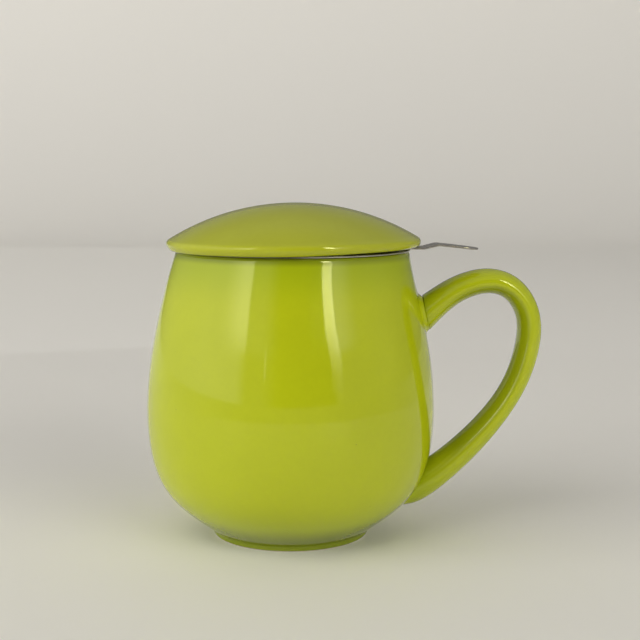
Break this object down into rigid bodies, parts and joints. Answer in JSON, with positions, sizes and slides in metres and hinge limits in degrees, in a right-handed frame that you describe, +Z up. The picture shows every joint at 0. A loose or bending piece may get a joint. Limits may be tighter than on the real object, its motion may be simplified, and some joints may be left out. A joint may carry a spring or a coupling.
{
  "type": "lidded tea mug with infuser",
  "caption": "Rounded ceramic tea mug with a side handle, a loose domed lid and a lift-out perforated steel infuser with a lifting tab.",
  "frame": {"origin": "centre of the mug's foot ring, on the plane it stands on", "axes": "+Z up along the mug's axis, +X towards the handle and the infuser tab"},
  "size_m": [0.1239, 0.0902, 0.1043],
  "materials": {
    "mug_glaze": "gloss",
    "lid_glaze": "gloss",
    "steel": "satin"
  },
  "bodies": {
    "mug": {"mug_body": "mug_glaze", "mug_handle": "mug_glaze"},
    "infuser": {"infuser_rim": "steel", "infuser_tab": "steel", "infuser_wall": "steel", "infuser_base": "steel"},
    "lid": {"lid": "lid_glaze"}
  },
  "joints": [
    {"name": "infuser_lift", "type": "slide", "parent": "mug", "child": "infuser", "axis": [0, 0, 1], "range_m": [0, 0.09]},
    {"name": "lid_lift", "type": "slide", "parent": "infuser", "child": "lid", "axis": [0, 0, 1], "range_m": [0, 0.05]}
  ]
}
